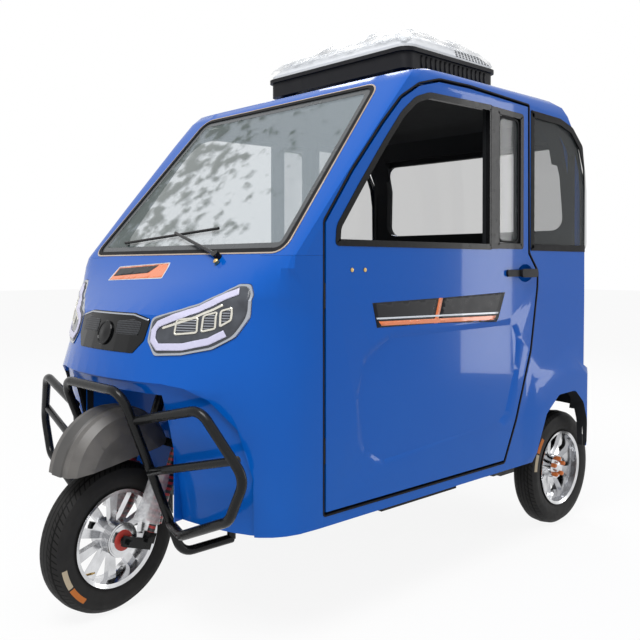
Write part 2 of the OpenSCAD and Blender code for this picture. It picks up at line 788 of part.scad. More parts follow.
// Roof cooler
module cooler_slab(trim, low, high, r) {
    translate([0, 0, low]) linear_extrude(high - low)
        rounded(r) square([cooler_w - 2 * trim, cooler_l - 2 * trim], center = true);
}
module cooler_base() {
    color(BLACK) placed() meshed() difference() {
        translate([0, cooler_y, 0]) {
            cooler_slab(10, cooler_z, cooler_z + cooler_base_h - 14, 36);
            cooler_slab(0, cooler_z + cooler_base_h - 14, cooler_z + cooler_base_h, 44);
            for (x = [-foot_x, foot_x], y = [-foot_y, foot_y])
                translate([x - 25, y - 25, roof_edge_z - 10]) cube([50, 50, cooler_z - roof_edge_z + 12]);
        }
        skin_block(0.3);
    }
}
module cooler_cover() {
    cover_z = cooler_z + cooler_base_h + 0.3;
    color([0.85, 0.86, 0.87]) placed() translate([0, cooler_y, cover_z]) hull() {
        cooler_slab(8, 0, 12, 44);
        cooler_slab(34, 40, 44, 60);
        cooler_slab(96, cooler_h - cooler_base_h - 1, cooler_h - cooler_base_h, 60);
    }
}
module rear_bumper() {
    color(BLACK) placed()
        translate([-bumper_w / 2, rail_end_y, skirt_z - rail_h]) cube([bumper_w, 40, rail_h + 10]);
}

module front_rim() {
    color(ALLOY) placed() at_front_wheel() rim(axle_r + pane_play, -6, 62);
}
module front_tyre() {
    color(RUBBER) placed() at_front_wheel() tyre();
}
module rear_rim(side) {
    color(ALLOY) placed() at_rear_wheel(side) rim(stub_r + pane_play, -29, 24);
}
module rear_tyre(side) {
    color(RUBBER) placed() at_rear_wheel(side) tyre();
}

chassis_frame();
floor_pan();
front_cowl();
wheel_well();
side_frame(1);  // side_frame_left
side_frame(-1);  // side_frame_right
roof_panel();
rear_panel();
windscreen();
rear_glass();
quarter_glass(1);  // quarter_glass_left
quarter_glass(-1);  // quarter_glass_right
driver_seat();
rear_bench();
dashboard();
crash_bar();
headlamp(1);  // headlamp_left
headlamp(-1);  // headlamp_right
grille();
wiper();
rear_axle();
leaf_springs();
battery_box();
door_hinges();
cooler_base();
cooler_cover();
tail_lamps();
rear_bumper();
front_fork();
front_shocks();
handlebar();
mudguard();
front_rim();
front_tyre();
rear_rim(1);  // rear_rim_left
rear_tyre(1);  // rear_tyre_left
rear_rim(-1);  // rear_rim_right
rear_tyre(-1);  // rear_tyre_right
door(1);  // door_left
door(-1);  // door_right
door_glass(1);  // door_glass_left
door_glass(-1);  // door_glass_right
door_handle(1);  // door_handle_left
door_handle(-1);  // door_handle_right
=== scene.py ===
import math

import bmesh
import bpy
from mathutils import Matrix, Vector, noise
from mathutils.bvhtree import BVHTree


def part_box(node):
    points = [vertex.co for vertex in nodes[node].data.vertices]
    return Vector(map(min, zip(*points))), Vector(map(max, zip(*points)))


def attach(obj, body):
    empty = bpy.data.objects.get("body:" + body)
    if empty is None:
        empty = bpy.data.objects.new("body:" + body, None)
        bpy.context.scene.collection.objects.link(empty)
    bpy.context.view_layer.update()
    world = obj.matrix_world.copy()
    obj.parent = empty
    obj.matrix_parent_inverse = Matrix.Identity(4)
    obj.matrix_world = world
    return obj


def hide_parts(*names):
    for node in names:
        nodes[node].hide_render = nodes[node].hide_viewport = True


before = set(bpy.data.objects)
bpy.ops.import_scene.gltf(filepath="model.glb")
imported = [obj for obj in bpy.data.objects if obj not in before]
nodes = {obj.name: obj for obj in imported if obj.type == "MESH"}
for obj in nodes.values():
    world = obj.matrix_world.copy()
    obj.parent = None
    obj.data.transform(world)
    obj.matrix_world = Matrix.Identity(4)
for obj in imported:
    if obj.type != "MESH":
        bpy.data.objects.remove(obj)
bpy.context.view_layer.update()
scene = bpy.context.scene
scene.view_settings.view_transform = "Standard"


# Camera. It stands at the left front corner at the height of the sills, where
# the photograph was taken, and is set from the middle of the front wheel.
FRONT_AXLE_Y = sum(corner[1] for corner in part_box("front_rim")) / 2
CAMERA_FROM_AXLE = Vector((2.105, -1.159, 1.006))
CAMERA_TURN = math.radians(46.78)
CAMERA_TILT = math.radians(89.46)
FOCAL_PIXELS = 795
SENSOR = 36
PHOTO_SIZE = 640
PRINCIPAL_POINT = (312.5, 273.5)

camera = bpy.data.objects.new("camera", bpy.data.cameras.new("camera"))
scene.collection.objects.link(camera)
camera.location = CAMERA_FROM_AXLE + Vector((0, FRONT_AXLE_Y, 0))
camera.rotation_euler = (CAMERA_TILT, 0, CAMERA_TURN)
camera.data.sensor_width = SENSOR
camera.data.lens = FOCAL_PIXELS * SENSOR / PHOTO_SIZE
camera.data.shift_x = (PHOTO_SIZE / 2 - PRINCIPAL_POINT[0]) / PHOTO_SIZE
camera.data.shift_y = (PRINCIPAL_POINT[1] - PHOTO_SIZE / 2) / PHOTO_SIZE
scene.camera = camera


# Blue body panels. They are moulded skins in one glossy blue paint under a
# clear coat. Their inner faces and the cab's ceiling are charcoal trim.
class Socket:
    """One output of a node tree. Its operators add Math nodes."""

    def __init__(self, tree, output):
        self.tree = tree
        self.output = output

    def node(self, kind, settings=None, **inputs):
        made = self.tree.nodes.new(kind)
        for name, value in (settings or {}).items():
            setattr(made, name, value)
        for name, value in inputs.items():
            numbered = name[0] == "i" and name[1:].isdigit()
            socket = made.inputs[int(name[1:]) if numbered else name.replace("_", " ")]
            if isinstance(value, Socket):
                self.tree.links.new(value.output, socket)
            else:
                socket.default_value = value
        return made

    def value(self, kind, settings=None, output=0, **inputs):
        return Socket(self.tree, self.node(kind, settings, **inputs).outputs[output])

    def maths(self, operation, first, second=0.0):
        return self.value("ShaderNodeMath", {"operation": operation}, i0=first, i1=second)

    def __add__(self, other):
        return self.maths("ADD", self, other)

    __radd__ = __add__

    def __mul__(self, other):
        return self.maths("MULTIPLY", self, other)

    __rmul__ = __mul__

    def __sub__(self, other):
        return self.maths("SUBTRACT", self, other)

    def __rsub__(self, other):
        return self.maths("SUBTRACT", other, self)

    def __gt__(self, limit):
        return self.maths("GREATER_THAN", self, limit)

    def __lt__(self, limit):
        return self.maths("LESS_THAN", self, limit)

    def __abs__(self):
        return self.maths("ABSOLUTE", self)

    def dot(self, vector):
        return self.value("ShaderNodeVectorMath", {"operation": "DOT_PRODUCT"}, output=1,
                          i0=self, i1=vector)

    def less(self, vector):
        return self.value("ShaderNodeVectorMath", {"operation": "SUBTRACT"}, i0=self, i1=vector)

    def clamped(self):
        return self.value("ShaderNodeClamp", i0=self)

    def mixed(self, low, high):
        return self.value("ShaderNodeMix", {"data_type": "RGBA"}, output=2,
                          i0=self, i6=low, i7=high)


class Finish:
    """A material with one Principled shader. Patterns lie on Object coordinates."""

    def __init__(self, name, colour, roughness, slot="black_plastic", **numbers):
        self.slot = slot
        self.material = bpy.data.materials.new(name)
        self.material.use_nodes = True
        self.tree = self.material.node_tree
        self.shader = self.tree.nodes["Principled BSDF"]
        self.shader.inputs["Base Color"].default_value = (*colour, 1)
        self.shader.inputs["Roughness"].default_value = roughness
        for number, value in numbers.items():
            self.shader.inputs[number.replace("_", " ")].default_value = value
        coordinates = self.tree.nodes.new("ShaderNodeTexCoord")
        self.place = Socket(self.tree, coordinates.outputs["Object"])
        self.facing = Socket(self.tree, coordinates.outputs["Normal"])

    def feed(self, name, socket):
        self.tree.links.new(socket.output, self.shader.inputs[name])

    def noise(self, scale, detail=3.0, stretch=None):
        place = self.place
        if stretch:
            place = place.value("ShaderNodeMapping", Vector=place, Scale=stretch)
        return place.value("ShaderNodeTexNoise", Vector=place, Scale=scale, Detail=detail)

    def bump(self, height, distance, strength=1.0):
        self.feed("Normal", height.value("ShaderNodeBump", Height=height, Distance=distance,
                                         Strength=strength))

    def on(self, *names):
        for name in names:
            obj = nodes[name] if isinstance(name, str) else name
            obj.data.materials.clear()
            obj.data.materials.append(self.material)


BODY_BLUE = (0.0006, 0.09, 0.44, 1)
BODY_BLUE_DUSTY = (0.012, 0.12, 0.44, 1)
TRIM_CHARCOAL = (0.022, 0.023, 0.025, 1)
CAB_MIDDLE = (0, 0.15, 0.95)
paint = Finish("blue_paint", BODY_BLUE[:3], 0.25, "paint", Coat_Roughness=0.03,
               Specular_IOR_Level=0.05)
inside = (paint.place.less(CAB_MIDDLE)
          .value("ShaderNodeVectorMath", {"operation": "DOT_PRODUCT"}, output=1,
                 i0=paint.place.less(CAB_MIDDLE), i1=paint.facing) < -0.02)
low_down = (0.75 - paint.place.dot((0, 0, 1))).clamped()
dust = (low_down * paint.noise(6.0, 5.0)).clamped()
paint.feed("Base Color", inside.mixed(dust.mixed(BODY_BLUE, BODY_BLUE_DUSTY), TRIM_CHARCOAL))
paint.feed("Coat Weight", 0.3 - inside * 0.3)
paint.feed("Roughness", dust * 0.3 + inside * 0.45 + paint.noise(30.0, 4.0) * 0.08 + 0.12)
PAINTED = ["front_cowl", "wheel_well", "side_frame_left", "side_frame_right", "roof_panel",
           "rear_panel", "door_left", "door_right"]
paint.on(*PAINTED)


def smooth_shaded(obj, angle=32):
    """The loose triangles of a CAD node, shaded as one curved surface."""
    for face in obj.data.polygons:
        face.use_smooth = True
    weld = obj.modifiers.new("weld", "WELD")
    weld.merge_threshold = 0.00005
    split = obj.modifiers.new("split", "EDGE_SPLIT")
    split.split_angle = math.radians(angle)
    weighted = obj.modifiers.new("weighted", "WEIGHTED_NORMAL")
    weighted.keep_sharp = True
    weighted.weight = 90


for name in nodes:
    smooth_shaded(nodes[name])


# Black seals and frames round the windows. Each is a moulded rubber or plastic
# ring pressed round the edge of its opening.
AXLE_Y = -0.83486
SIDE_X = 566
SILL_Z = 1.066


def piece(name, made, finish, body="body", smooth=True):
    """A bmesh made into a piece that rides on a body."""
    mesh = bpy.data.meshes.new(name)
    made.to_mesh(mesh)
    made.free()
    for face in mesh.polygons:
        face.use_smooth = smooth
    obj = bpy.data.objects.new(name, mesh)
    scene.collection.objects.link(obj)
    finish.on(obj)
    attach(obj, body)
    return obj


def face_of(points, radius, segments=5):
    """A flat face in millimetres whose corners are rounded."""
    made = bmesh.new()
    corners = [made.verts.new((*point, 0)) for point in points]
    made.faces.new(corners)
    if radius:
        bmesh.ops.bevel(made, geom=made.verts[:], offset=radius, affect="VERTICES",
                        segments=segments, profile=0.5, material=-1)
    return made


def keep_ring(made, width):
    """Turn a flat face into a ring as wide as this, inside its edge."""
    middle = made.faces[:]
    bmesh.ops.inset_region(made, faces=middle, thickness=width, use_boundary=True,
                           use_even_offset=True)
    bmesh.ops.delete(made, geom=middle, context="FACES")


def slab(name, points, radius, low, high, place, finish, body="body", width=None, soften=0.8):
    """A flat plate or ring between two heights, with its edges softened."""
    made = face_of(points, radius)
    if width:
        keep_ring(made, width)
    raised = bmesh.ops.extrude_face_region(made, geom=made.faces[:])["geom"]
    top = [part for part in raised if isinstance(part, bmesh.types.BMVert)]
    bmesh.ops.translate(made, verts=made.verts, vec=(0, 0, low))
    bmesh.ops.translate(made, verts=top, vec=(0, 0, high - low))
    bmesh.ops.transform(made, verts=made.verts, matrix=place)
    bmesh.ops.recalc_face_normals(made, faces=made.faces)
    obj = piece(name, made, finish, body, smooth=False)
    rounded = obj.modifiers.new("softened", "BEVEL")
    rounded.width = soften / 1000
    rounded.segments = 2
    rounded.limit_method = "ANGLE"
    rounded.angle_limit = math.radians(50)
    return obj


def skin_of(*names):
    """The surface of some CAD nodes, for laying pieces on."""
    made = bmesh.new()
    for name in names:
        made.from_mesh(nodes[name].data)
    tree = BVHTree.FromBMesh(made)
    made.free()
    return tree


def side_place(side):
    """From (model y, z, distance from the middle) in millimetres to metres."""
    return Matrix(((0, 0, side * 0.001, 0), (0.001, 0, 0, AXLE_Y), (0, 0.001, 0, 0),
                   (0, 0, 0, 1)))


def grown(points, by):
    """The outline moved outwards by a distance."""
    count = len(points)
    turning = sum(points[i - 1][0] * points[i][1] - points[i][0] * points[i - 1][1]
                  for i in range(count))
    out = []
    for i in range(count):
        before, here, after = (Vector(points[j]) for j in (i - 1, i, (i + 1) % count))
        first = (here - before).normalized()
        second = (after - here).normalized()
        across = Vector((first.y + second.y, -first.x - second.x)).normalized()
        spread = max(0.4, across.dot(Vector((second.y, -second.x))))
        out.append(tuple(here + across * by / spread * math.copysign(1, turning)))
    return out


rubber = Finish("black_rubber", (0.005, 0.005, 0.006), 0.55, Specular_IOR_Level=0.12)
rubber.bump(rubber.noise(700.0), 0.0003, 0.4)
rubber.feed("Roughness", rubber.noise(25.0, 4.0) * 0.25 + 0.42)
frame_black = Finish("black_window_frame", (0.004, 0.0042, 0.005), 0.22, Coat_Weight=0.05,
                     Specular_IOR_Level=0.12)
frame_black.feed("Roughness", frame_black.noise(60.0, 4.0) * 0.2 + 0.14)

DOOR_WINDOW = [(378, 1066), (382, 1116), (474, 1240), (584, 1380), (655, 1464), (718, 1514),
               (783, 1536), (1117, 1542), (1117, 1066)]
DOOR_EDGE = [(338, 339), (338, 1124), (447, 1272), (572, 1418), (652, 1502), (735, 1553),
             (833, 1580), (990, 1584), (1338, 1571), (1342, 1050), (1400, 985), (1398, 930),
             (1355, 705), (1260, 467), (1190, 337)]
VENT = [(1146, 1070), (1146, 1539), (1306, 1536), (1306, 1070)]
QUARTER_Y, QUARTER_L = 1362, 412
QUARTER = [(QUARTER_Y + QUARTER_L * share, z) for share, z in
           ((0, 1066), (0, 1558), (0.48, 1553), (0.7, 1530), (0.875, 1470), (0.97, 1385),
            (0.995, 1300), (1, 1066), (0.94, 1066), (0.87, 1066), (0.8, 1066))]
for side, word in ((1, "left"), (-1, "right")):
    at = side_place(side)
    door = word + "_door"
    slab("window_frame_" + word, grown(DOOR_WINDOW, 5), 14, SIDE_X - 14, SIDE_X + 1.5, at,
         frame_black, door, width=19)
    slab("vent_frame_" + word, grown(VENT, 5), 12, SIDE_X - 6, SIDE_X + 1.5, at,
         frame_black, door, width=20)
    slab("vent_bar_" + word, [(1110, 1064), (1110, 1544), (1152, 1544), (1152, 1064)], 2,
         SIDE_X - 12, SIDE_X + 2.2, at, frame_black, door)
    slab("vent_inner_frame_" + word, grown(VENT, -17), 26, SIDE_X - 6.5, SIDE_X - 3, at, rubber,
         door, width=7)
    quarter_seal = slab("quarter_seal_" + word, grown(QUARTER, 5), 8, SIDE_X - 4.5, SIDE_X + 1.8,
                        at, rubber, width=24)
    corner_skin = skin_of("side_frame_" + word)
    for vert in quarter_seal.data.vertices:
        below = Vector((side, vert.co.y, SILL_Z - 0.03))
        hit = corner_skin.ray_cast(below, Vector((-side, 0, 0)))[0]
        if hit:
            vert.co.x += hit.x - side * SIDE_X / 1000
    slab("door_seal_" + word, grown(DOOR_EDGE, 12), 10, SIDE_X - 3, SIDE_X + 1.0, at, rubber,
         width=5, soften=0.6)


# Glass. The windscreen is clear laminated glass in a rubber with a beige and
# silver insert. The side and rear panes are tinted.
SCREEN_LEAN = math.atan(0.844)
SCREEN = [(-512, 14), (-452, 698.8), (452, 698.8), (512, 14)]
screen_place = (Matrix.Translation((0, AXLE_Y + 0.222, 1.034)) @
                Matrix(((0.001, 0, 0, 0),
                        (0, 0.001 * math.sin(SCREEN_LEAN), -0.001 * math.cos(SCREEN_LEAN), 0),
                        (0, 0.001 * math.cos(SCREEN_LEAN), 0.001 * math.sin(SCREEN_LEAN), 0),
                        (0, 0, 0, 1))))


def glass(name, colour, clear, slot):
    """A pane: glossy, see-through and a little uneven, with faint dust."""
    pane = Finish(name, colour, 0.03, slot, Alpha=clear, Specular_IOR_Level=0.6)
    pane.feed("Roughness", pane.noise(8.0, 5.0) * 0.05 + 0.01)
    return pane


clear_glass = glass("clear_glass", (0.42, 0.47, 0.49), 0.34, "clear_glass")
# The windscreen's colour and opacity carry a painted reflection of dark leaves over pale sky. It is
# a fixed pattern on the glass, so it shows from each side.
painted_leaf_reflection = clear_glass.noise(16.0, 14.0, (1.0, 1.0, 1.3)) - clear_glass.place.dot((0.32, 0, 0))
painted_leaf_reflection = ((painted_leaf_reflection - 0.50) * 9.0).clamped()
clear_glass.feed("Base Color", painted_leaf_reflection.mixed((0.34, 0.40, 0.44, 1), (0.03, 0.06, 0.055, 1)))
clear_glass.feed("Alpha", painted_leaf_reflection * 0.25 + 0.38)
clear_glass.on("windscreen")
tinted_glass = glass("tinted_glass", (0.055, 0.065, 0.07), 0.26, "tinted_glass")
tinted_glass.feed("Base Color", tinted_glass.noise(5.0, 6.0).mixed(
    (0.035, 0.042, 0.045, 1), (0.10, 0.115, 0.12, 1)))
tinted_glass.on("rear_glass", "quarter_glass_left", "quarter_glass_right",
                "door_glass_left", "door_glass_right")
screen_trim = Finish("screen_trim", (0.55, 0.46, 0.36), 0.25, "alloy", Metallic=0.7)
screen_trim.feed("Base Color", screen_trim.noise(9.0, 4.0).mixed(
    (0.62, 0.60, 0.56, 1), (0.42, 0.25, 0.13, 1)))
screen_border = Finish("screen_border", (0.05, 0.055, 0.06), 0.3, "gloss_black")
screen_border.feed("Roughness", screen_border.noise(40.0, 3.0) * 0.2 + 0.15)
slab("screen_trim", grown(SCREEN, 7), 50, -3, 2.0, screen_place, screen_trim, width=6)
slab("screen_rubber", grown(SCREEN, 2), 46, -3, 2.6, screen_place, rubber, width=15)
slab("screen_border", grown(SCREEN, -11), 36, -2.3, -1.3, screen_place, screen_border, width=24,
     soften=0.2)


# Black painted steel: the crash bar, the chassis, the fork and the axle. It is
# bent tube and plate under a gloss black powder coat.
black_paint = Finish("black_paint", (0.006, 0.0065, 0.007), 0.22, "black_frame", Coat_Weight=0.15,
                     Specular_IOR_Level=0.15)
black_wear = black_paint.noise(40.0, 4.0)
black_paint.feed("Roughness", black_wear * 0.3 + 0.12)
black_paint.bump(black_paint.noise(150.0), 0.0003, 0.3)
black_paint.on("crash_bar", "chassis_frame", "front_fork", "rear_axle", "rear_bumper",
               "door_hinges", "wiper")
steel = Finish("spring_steel", (0.09, 0.09, 0.09), 0.45, "steel", Metallic=0.8)
steel.feed("Roughness", steel.noise(30.0) * 0.3 + 0.3)
steel.on("leaf_springs")

# Moulded black plastic: the floor, the dashboard, the grips and the handles.
plastic = Finish("black_plastic", (0.008, 0.008, 0.0095), 0.5, "black_plastic",
                 Specular_IOR_Level=0.2)
plastic.bump(plastic.noise(900.0, 2.0), 0.0002, 0.5)
plastic.feed("Roughness", plastic.noise(20.0, 4.0) * 0.3 + 0.35)
plastic.on("floor_pan", "dashboard", "handlebar", "battery_box", "cooler_base",
           "door_handle_left", "door_handle_right")


# Cast wheels. Each is one polished aluminium casting with a drum hub, and the
# front one shows a red seal and a brass spindle.
def turned(name, profile, centre, axis, finish, body, steps=48):
    """A lathe-turned piece: points of (along the axis, radius) in millimetres."""
    made = bmesh.new()
    corners = [made.verts.new((radius / 1000, 0, along / 1000)) for along, radius in profile]
    edges = [made.edges.new(pair) for pair in zip(corners, corners[1:])]
    bmesh.ops.spin(made, geom=corners + edges, cent=(0, 0, 0), axis=(0, 0, 1), dvec=(0, 0, 0),
                   angle=math.tau, steps=steps, use_merge=True)
    bmesh.ops.remove_doubles(made, verts=made.verts, dist=0.00001)
    bmesh.ops.recalc_face_normals(made, faces=made.faces)
    turn = Vector(axis).to_track_quat("Z", "Y").to_matrix().to_4x4()
    bmesh.ops.transform(made, verts=made.verts, matrix=Matrix.Translation(centre) @ turn)
    obj = piece(name, made, finish, body)
    split = obj.modifiers.new("split", "EDGE_SPLIT")
    split.split_angle = math.radians(35)
    return obj


alloy = Finish("polished_alloy", (0.74, 0.75, 0.77), 0.14, "alloy", Metallic=1.0)
alloy_grime = alloy.noise(22.0, 6.0)
alloy.feed("Roughness", alloy_grime * 0.25 + 0.05)
alloy.feed("Base Color", alloy_grime.mixed((0.86, 0.87, 0.89, 1), (0.42, 0.42, 0.43, 1)))
alloy.on("front_rim", "rear_rim_left", "rear_rim_right")
seal_red = Finish("seal_red", (0.42, 0.03, 0.02), 0.4, "red_lamp")
seal_red.feed("Roughness", seal_red.noise(80.0) * 0.3 + 0.3)
brass = Finish("brass", (0.62, 0.42, 0.16), 0.28, "alloy", Metallic=1.0)
brass.feed("Roughness", brass.noise(90.0) * 0.3 + 0.15)
nut_orange = Finish("nut_orange", (0.62, 0.16, 0.03), 0.45)
nut_orange.feed("Roughness", nut_orange.noise(90.0) * 0.3 + 0.3)

FRONT_HUB = Vector((0.004871, FRONT_AXLE_Y, 0.218384))
FRONT_AXIS = Vector((0.99027, 0.13078, -0.0476)).normalized()
REAR_HUB_X = 0.467
REAR_HUB_Y = 0.83914
REAR_HUB_Z = 0.2185
turned("hub_seal", [(62.2, 12.5), (62.2, 30), (64, 30), (65, 28), (65, 12.5), (62.2, 12.5)],
       FRONT_HUB, FRONT_AXIS, seal_red, "front_wheel")
turned("hub_flange", [(54, 45.2), (54, 50), (57, 51), (60, 50), (60, 45.2), (54, 45.2)],
       FRONT_HUB, FRONT_AXIS, alloy, "front_wheel")
for ring in range(5):
    along = 22 + ring * 6
    turned("hub_rib_" + str(ring), [(along, 44.8), (along, 47.5), (along + 2.5, 47.5),
                                    (along + 2.5, 44.8), (along, 44.8)],
           FRONT_HUB, FRONT_AXIS, alloy, "front_wheel")
for side, word in ((1, "left"), (-1, "right")):
    hub = Vector((side * REAR_HUB_X, REAR_HUB_Y, REAR_HUB_Z))
    out = Vector((side, 0, 0))
    wheel = "rear_wheel_" + word
    turned("hub_cap_" + word, [(24.2, 0), (24.2, 20), (30, 20), (34, 17), (36, 8), (36.5, 0)],
           hub, out, alloy, wheel)
    for i in range(5):
        angle = math.tau * i / 5 + 0.3
        nut = hub + Vector((0, math.cos(angle), math.sin(angle))) * 0.033
        turned("nut_cap_%s_%d" % (word, i),
               [(24.2, 8.5), (36, 8.5), (40, 7), (42, 3.5), (42.4, 0)], nut, out, nut_orange,
               wheel, steps=12)


# Tyres. They are black rubber with three grooves round the tread and slanted
# cuts on both shoulders, and one blank coloured strip on the wall.
def tyre_finish(name, hub, axis, label_from, label_colours):
    tyre = Finish(name, (0.013, 0.013, 0.014), 0.65, "tyre", Specular_IOR_Level=0.15)
    axis = Vector(axis).normalized()
    ahead = axis.cross(Vector((0, 0, 1))).normalized()
    upward = ahead.cross(axis).normalized()
    from_hub = tyre.place.less(hub)
    across = from_hub.dot(axis)
    ahead_part = from_hub.dot(ahead)
    up_part = from_hub.dot(upward)
    radius = (ahead_part * ahead_part + up_part * up_part).maths(
        "POWER", ahead_part * ahead_part + up_part * up_part, 0.5)
    angle = radius.maths("ARCTAN2", up_part, ahead_part)
    from_middle = abs(across)
    rings = 0.0
    for offset in (0.0, 0.013, 0.026):
        rings = rings + (abs(from_middle - offset) < 0.0016)
    cut = (angle * (72 / math.tau) + from_middle * 55).maths(
        "FRACT", angle * (72 / math.tau) + from_middle * 55)
    cuts = (cut < 0.22) * (from_middle > 0.015) * (radius > 0.2)
    tread = radius > 0.203
    grooves = ((rings + cuts) * tread).clamped()
    tyre.bump(1 - grooves, 0.004)
    wall = (abs(radius - 0.186) < 0.0075) * (across > 0)
    first = wall * (abs(angle - label_from) < 0.17)
    second = wall * (abs(angle - label_from - 0.36) < 0.16)
    dusty = tyre.noise(12.0, 5.0).mixed((0.010, 0.010, 0.011, 1), (0.030, 0.029, 0.028, 1))
    # The grooves are painted near-black: painted shade in the recesses of the tread. The rest of
    # the tyre is dusty rubber.
    dark = grooves.mixed(dusty, (0.003, 0.003, 0.003, 1))
    tyre.feed("Base Color", second.mixed(first.mixed(dark, label_colours[0]), label_colours[1]))
    tyre.feed("Roughness", tyre.noise(60.0, 4.0) * 0.3 + 0.45)
    return tyre


LABEL_ORANGE = (0.55, 0.17, 0.04, 1)
LABEL_CREAM = (0.5, 0.42, 0.3, 1)
tyre_finish("front_tyre_rubber", FRONT_HUB, FRONT_AXIS, -0.75,
            (LABEL_ORANGE, LABEL_CREAM)).on("front_tyre")
tyre_finish("rear_tyre_rubber_left", (REAR_HUB_X, REAR_HUB_Y, REAR_HUB_Z), (1, 0, 0), 0.25,
            (LABEL_CREAM, LABEL_ORANGE)).on("rear_tyre_left")
tyre_finish("rear_tyre_rubber_right", (-REAR_HUB_X, REAR_HUB_Y, REAR_HUB_Z), (-1, 0, 0), 0.25,
            (LABEL_CREAM, LABEL_ORANGE)).on("rear_tyre_right")


# Spring legs. Each is a red coil over a black tube, wrapped for delivery in
# grey bubble film that flares at its foot.
coil = Finish("red_coil", (0.4, 0.02, 0.02), 0.35, "black_frame", Coat_Weight=0.4)
turns = (coil.place.dot((0, 0.34202, 0.93969)) * 60).maths(
    "FRACT", coil.place.dot((0, 0.34202, 0.93969)) * 60)
coil.feed("Base Color", (turns < 0.45).mixed((0.012, 0.012, 0.013, 1), (0.42, 0.015, 0.015, 1)))
coil.bump(turns < 0.45, 0.003)
coil.on("front_shocks")
film = Finish("bubble_film", (0.75, 0.76, 0.78), 0.2, "clear_glass", Alpha=0.42,
              Coat_Weight=0.6)
film.feed("Alpha", film.noise(70.0, 3.0) * 0.7 + 0.12)
film.bump(film.noise(120.0, 2.0), 0.003)
FORK_SLOPE = Vector((0, 0.34202, 0.93969))
WRAP = [(0, 39), (25, 36), (55, 31), (90, 29), (125, 30), (150, 28)]
for side, word in ((1, "left"), (-1, "right")):
    foot = Vector((side * 0.090, -0.765, 0.262))
    wrap = turned("shock_wrap_" + word, WRAP, foot, FORK_SLOPE, film, "steering_fork")
    for vert in wrap.data.vertices:
        shift = noise.noise(vert.co * 60) * 0.0035
        vert.co += Vector((shift, shift * 0.6, 0))

# The tyre's valve stands inward from the rim's barrel at the lower left.
valve_out = FRONT_AXIS.cross(Vector((0, 0, 1))).normalized() * 0.72 - Vector((0, 0, 0.69))
turned("front_valve", [(-8, 3), (22, 3.4), (24, 2.6), (30, 2.4), (30.5, 0)],
       FRONT_HUB + valve_out * 0.128 + FRONT_AXIS * 0.012, FRONT_AXIS - valve_out * 0.6, brass,
       "front_wheel", steps=12)

# Small brass fixings: the nut of the wiper and two bolts beside each door's edge.
turned("wiper_nut", [(-4, 8), (5, 8), (8, 5), (8.5, 0)], (0.2592, -0.636, 1.0185),
       (0, -0.76, 0.65), brass, "body", steps=16)
for side, word in ((1, "left"), (-1, "right")):
    for number, y in enumerate((438, 491)):
        turned("door_bolt_%s_%d" % (word, number), [(-0.5, 6), (2, 6), (3.2, 4), (3.4, 0)],
               (side * SIDE_X / 1000, y / 1000 + AXLE_Y, 0.995), (side, 0, 0), brass,
               word + "_door", steps=16)

# Mudguard: one grey-brown plastic moulding, dusty, with a raised darker band.
guard = Finish("mudguard_plastic", (0.06, 0.06, 0.062), 0.45, "guard")
guard_dust = guard.noise(14.0, 6.0)
band = abs(guard.place.less(tuple(FRONT_HUB)).dot(tuple(FRONT_AXIS))) < 0.024
guard.feed("Base Color", band.mixed(
    guard_dust.mixed((0.035, 0.034, 0.034, 1), (0.17, 0.16, 0.15, 1)),
    guard_dust.mixed((0.022, 0.022, 0.023, 1), (0.09, 0.085, 0.08, 1))))
guard.feed("Roughness", guard_dust * 0.4 + 0.2)
guard.on("mudguard")


# Front of the nose. Thin trims, lamps and stickers lie on the skin, so each is
# cut flat, laid on the panel behind it and given its thickness.
def laid(name, points, skin, finish, proud=0.5, thick=0.6, radius=0, width=None, side=0,
         fine=9, body="body"):
    """A flat shape laid on the skin along +Y, or from one side where side is given."""
    made = face_of(points, radius)
    if width:
        keep_ring(made, width)
    bmesh.ops.triangulate(made, faces=made.faces[:])
    for _ in range(5):
        long_edges = [edge for edge in made.edges if edge.calc_length() > fine]
        if long_edges:
            bmesh.ops.subdivide_edges(made, edges=long_edges, cuts=1)
            bmesh.ops.triangulate(made, faces=made.faces[:])
    lost = []
    for vert in made.verts:
        across, z = vert.co.x / 1000, vert.co.y / 1000
        if side:
            start, aim = Vector((side, across + AXLE_Y, z)), Vector((-side, 0, 0))
        else:
            start, aim = Vector((across, -1.5, z)), Vector((0, 1, 0))
        hit, normal = skin.ray_cast(start, aim)[:2]
        if hit is None:
            lost.append(vert)
        else:
            vert.co = hit + normal * (proud / 1000)
    bmesh.ops.delete(made, geom=lost, context="VERTS")
    bmesh.ops.recalc_face_normals(made, faces=made.faces)
    outward = sum((face.normal for face in made.faces), Vector())
    if outward.dot(Vector((side, 0, 0)) if side else Vector((0, -1, 0))) < 0:
        bmesh.ops.reverse_faces(made, faces=made.faces)
    obj = piece(name, made, finish, body)
    shell = obj.modifiers.new("thickness", "SOLIDIFY")
    shell.thickness = thick / 1000
    shell.offset = 1
    return obj


def strip(path, width):
    """The outline of a strip of even width along a path."""
    left, right = [], []
    for i, point in enumerate(path):
        before = Vector(path[max(i - 1, 0)])
        after = Vector(path[min(i + 1, len(path) - 1)])
        ahead = (after - before).normalized()
        across = Vector((-ahead.y, ahead.x)) * width / 2
        left.append(tuple(Vector(point) + across))
        right.append(tuple(Vector(point) - across))
    return left + right[::-1]


def mirrored(points, side):
    return [(side * across, z) for across, z in points]


